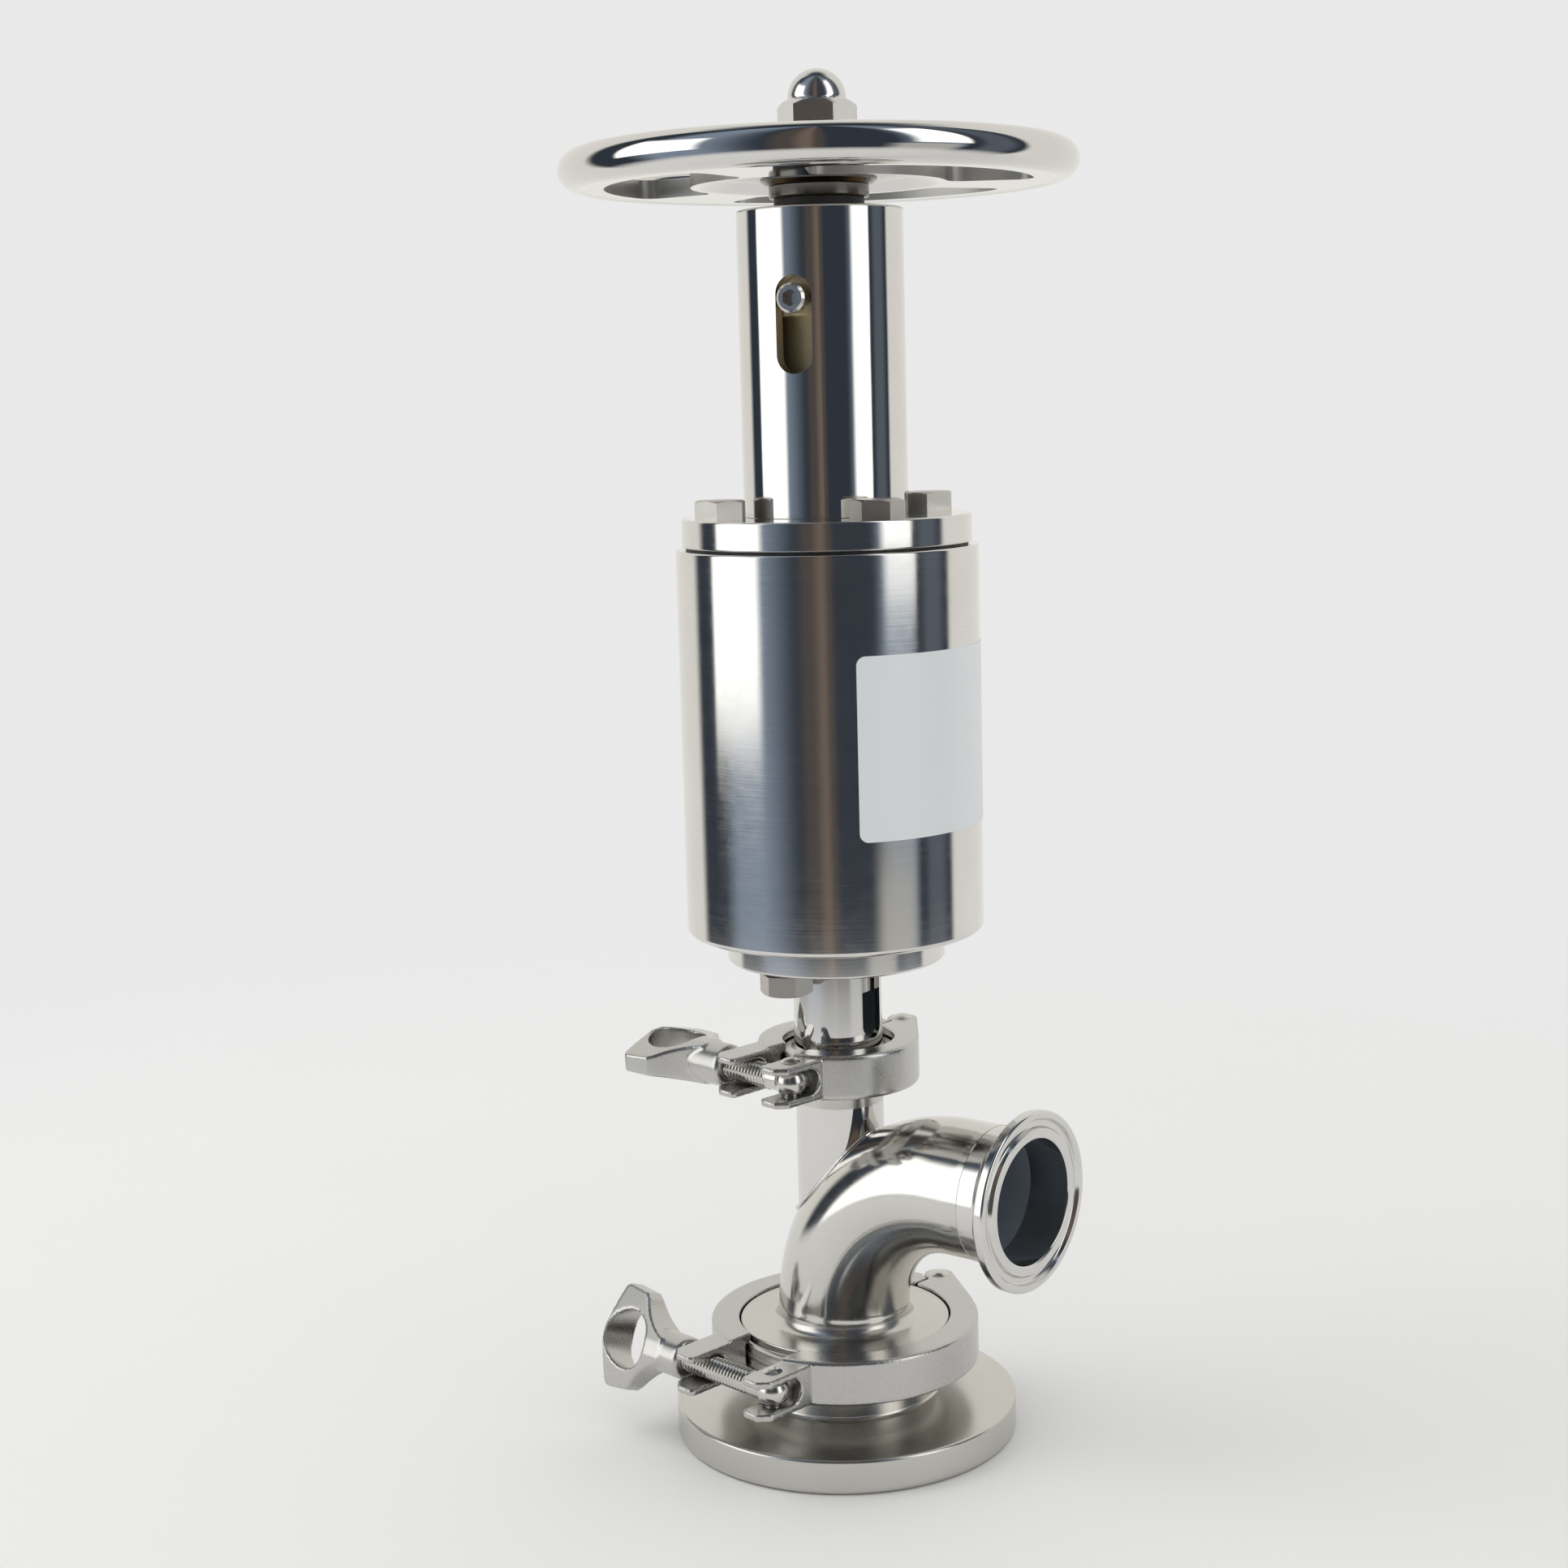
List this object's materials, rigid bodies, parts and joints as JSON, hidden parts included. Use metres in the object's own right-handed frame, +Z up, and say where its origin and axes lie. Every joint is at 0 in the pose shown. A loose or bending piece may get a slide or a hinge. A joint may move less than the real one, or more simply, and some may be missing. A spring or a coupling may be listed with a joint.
{
  "type": "diaphragm valve",
  "caption": "Sanitary tank-bottom diaphragm valve with a clamped vessel pad, an elbow outlet, a spring and air actuator and a handwheel override.",
  "frame": {"origin": "centre of the vessel pad's underside, on the stem axis", "axes": "+Z up the stem towards the handwheel, +X out of the outlet"},
  "size_m": [0.142, 0.142, 0.3868],
  "materials": {
    "polished_steel": "mirror polished stainless steel",
    "brushed_steel": "fine turned stainless steel",
    "cast_steel": "bead-blasted cast stainless steel",
    "bolt_steel": "plain stainless fasteners",
    "dark_steel": "dark turned steel",
    "brass": "turned brass",
    "bush_bronze": "bearing bronze",
    "seal_rubber": "black moulded rubber",
    "diaphragm_rubber": "moulded elastomer",
    "white_plastic": "white seal plastic",
    "label_film": "blank white label film",
    "spring_steel": "oiled spring steel"
  },
  "bodies": {
    "housing": {"tank_pad": "brushed_steel", "pad_gasket": "white_plastic", "lower_ferrule": "brushed_steel", "outlet_elbow": "polished_steel", "outlet_ferrule": "polished_steel", "column_tube": "polished_steel", "column_ferrule": "brushed_steel", "yoke_ferrule": "brushed_steel", "yoke_tube": "polished_steel", "stem_guide_bush": "white_plastic", "diaphragm": "diaphragm_rubber", "lower_clamp_front": "cast_steel", "lower_clamp_rear": "cast_steel", "lower_hinge_pin": "bolt_steel", "lower_pivot_pin": "bolt_steel", "upper_clamp_front": "cast_steel", "upper_clamp_rear": "cast_steel", "upper_hinge_pin": "bolt_steel", "upper_pivot_pin": "bolt_steel", "mounting_boss": "brushed_steel", "air_port_plug": "bolt_steel", "air_port_washer": "seal_rubber", "rod_guide_bush": "bush_bronze", "rod_lower_seal": "seal_rubber", "actuator_cylinder": "polished_steel", "rating_label": "label_film", "return_spring": "spring_steel", "end_plate": "brushed_steel", "rod_upper_seal": "seal_rubber", "cover_gasket": "seal_rubber", "top_cover": "brushed_steel", "cover_bolts": "bolt_steel", "limit_tube": "polished_steel", "spindle_bush": "bush_bronze"},
    "handwheel_set": {"handwheel": "polished_steel", "spindle": "brushed_steel", "thrust_washer": "bush_bronze", "wiper_ring": "seal_rubber", "spindle_collar": "dark_steel", "lock_ring": "dark_steel", "drive_key": "bolt_steel", "wheel_washer": "bolt_steel", "cap_nut": "polished_steel"},
    "stem_set": {"follower_nut": "brass", "guide_screw": "bolt_steel", "piston_rod": "polished_steel", "piston": "brushed_steel", "piston_seal": "seal_rubber", "piston_nut": "bolt_steel", "stem_coupler": "brushed_steel", "coupler_pin": "dark_steel", "valve_stem": "polished_steel", "plug_head": "diaphragm_rubber"},
    "lower_bolt": {"lower_eye_bolt": "bolt_steel"},
    "lower_nut": {"lower_wing_nut": "cast_steel"},
    "upper_bolt": {"upper_eye_bolt": "bolt_steel"},
    "upper_nut": {"upper_wing_nut": "cast_steel"}
  },
  "joints": [
    {"name": "handwheel_turn", "type": "hinge", "parent": "housing", "child": "handwheel_set", "pos_m": [0, 0, 0.36], "axis": [0, 0, 1], "range_deg": [-1350, 135]},
    {"name": "stem_lift", "type": "slide", "parent": "housing", "child": "stem_set", "axis": [0, 0, 1], "range_m": [-0.015, 0.0015], "deforming": ["return_spring", "diaphragm"]},
    {"name": "lower_bolt_swing", "type": "hinge", "parent": "housing", "child": "lower_bolt", "pos_m": [0.00952, -0.04524, 0.0276], "axis": [0, 0, 1], "range_deg": [0, 95]},
    {"name": "lower_nut_turn", "type": "hinge", "parent": "lower_bolt", "child": "lower_nut", "pos_m": [-0.02628, -0.04148, 0.0276], "axis": [0.9945, -0.1045, 0], "range_deg": [-720, 720]},
    {"name": "upper_bolt_swing", "type": "hinge", "parent": "housing", "child": "upper_bolt", "pos_m": [0.00426, -0.02739, 0.1109], "axis": [0, 0, 1], "range_deg": [0, 95]},
    {"name": "upper_nut_turn", "type": "hinge", "parent": "upper_bolt", "child": "upper_nut", "pos_m": [-0.0216, -0.02468, 0.1109], "axis": [0.9945, -0.1045, 0], "range_deg": [-720, 720]}
  ],
  "couplings": [
    {"joint": "stem_lift", "follows": "handwheel_turn", "m_per_rad": 0.00063662}
  ]
}
